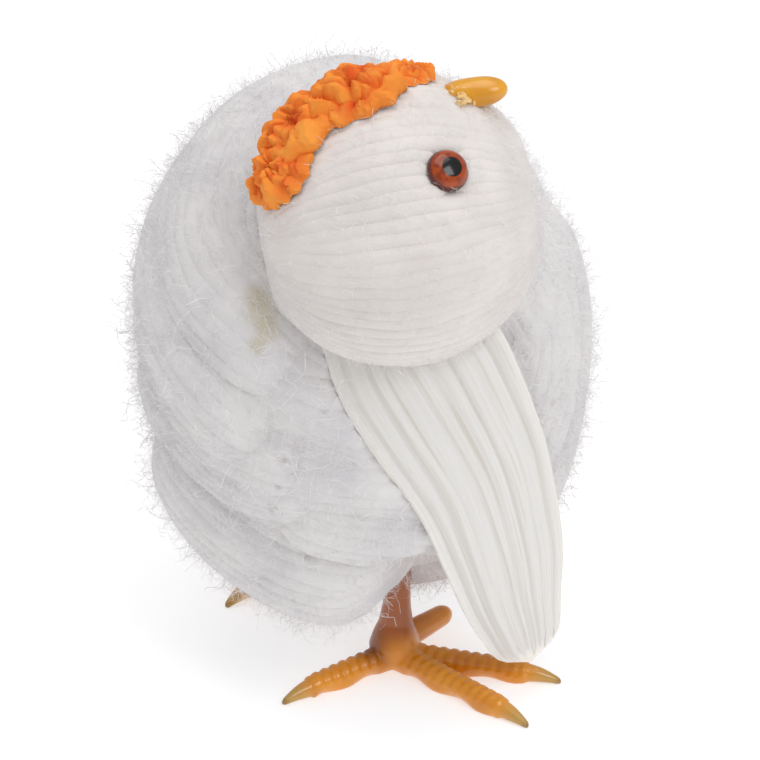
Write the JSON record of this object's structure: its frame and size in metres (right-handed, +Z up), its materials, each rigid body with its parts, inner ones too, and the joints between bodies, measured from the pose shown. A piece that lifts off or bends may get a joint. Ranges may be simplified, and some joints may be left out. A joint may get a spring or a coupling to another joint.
{
  "type": "wool chick figurine",
  "caption": "Small ornament of a chick made of wound white wool, with its head turned back, a paper comb, straw wings and moulded plastic feet that it stands on.",
  "frame": {"origin": "middle of the overall box, on the surface that the feet stand on", "axes": "+Z up; -Y is the side that faces the viewer; +X is the viewer's right, the way the beak points"},
  "size_m": [0.063, 0.086, 0.1042],
  "materials": {
    "wool": "soft white yarn with fine fuzz",
    "comb_paper": "crumpled orange crepe paper",
    "beak_plastic": "glossy yellow-orange plastic",
    "eye_plastic": "polished amber brown with a black pupil",
    "straw": "satin ivory flat strips",
    "foot_plastic": "glossy orange plastic with yellower claws"
  },
  "bodies": {
    "root": {"wool_body": "wool", "wool_head": "wool", "paper_comb": "comb_paper", "beak": "beak_plastic", "eye_left": "eye_plastic", "eye_right": "eye_plastic", "wing_left": "straw", "wing_right": "straw", "foot_left": "foot_plastic", "foot_right": "foot_plastic"}
  },
  "joints": []
}
